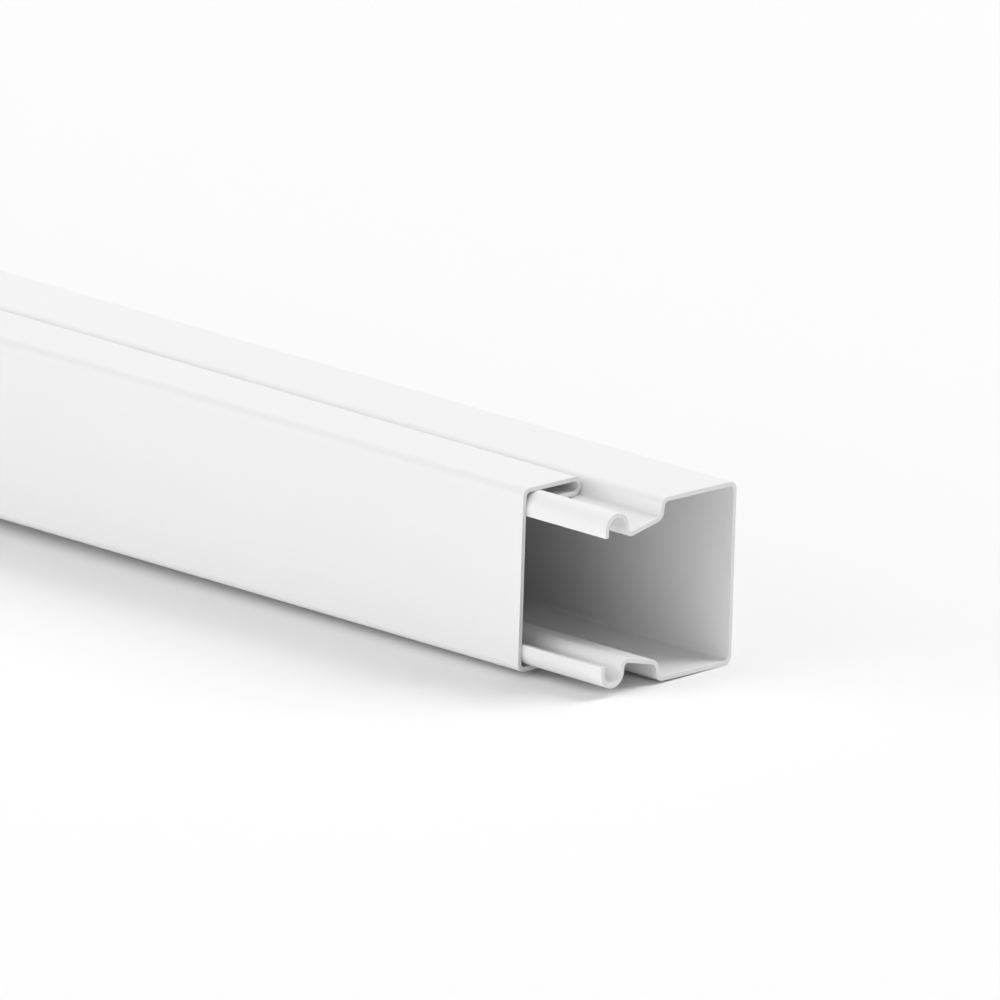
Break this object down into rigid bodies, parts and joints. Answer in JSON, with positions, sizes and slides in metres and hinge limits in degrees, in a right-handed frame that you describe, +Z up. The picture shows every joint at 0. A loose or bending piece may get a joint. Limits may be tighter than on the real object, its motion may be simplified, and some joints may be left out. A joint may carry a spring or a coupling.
{
  "type": "steel cable trunking",
  "caption": "Square steel cable trunking: a folded wall channel with rounded front rails, and a hooked cover that slides along them.",
  "frame": {"origin": "on the floor, under the middle of the channel and cover together", "axes": "+X along the trunking towards the near end, where the cover is slid back; +Y towards the wall side; +Z up, square to the side it lies on"},
  "size_m": [2.0232, 0.04, 0.04],
  "materials": {
    "white_coating": "satin"
  },
  "bodies": {
    "channel": {"trunking_channel": "white_coating"},
    "cover": {"cover": "white_coating"}
  },
  "joints": [
    {"name": "cover_slide", "type": "slide", "parent": "channel", "child": "cover", "axis": [1, 0, 0], "range_m": [-1.9, 0.0233]}
  ]
}
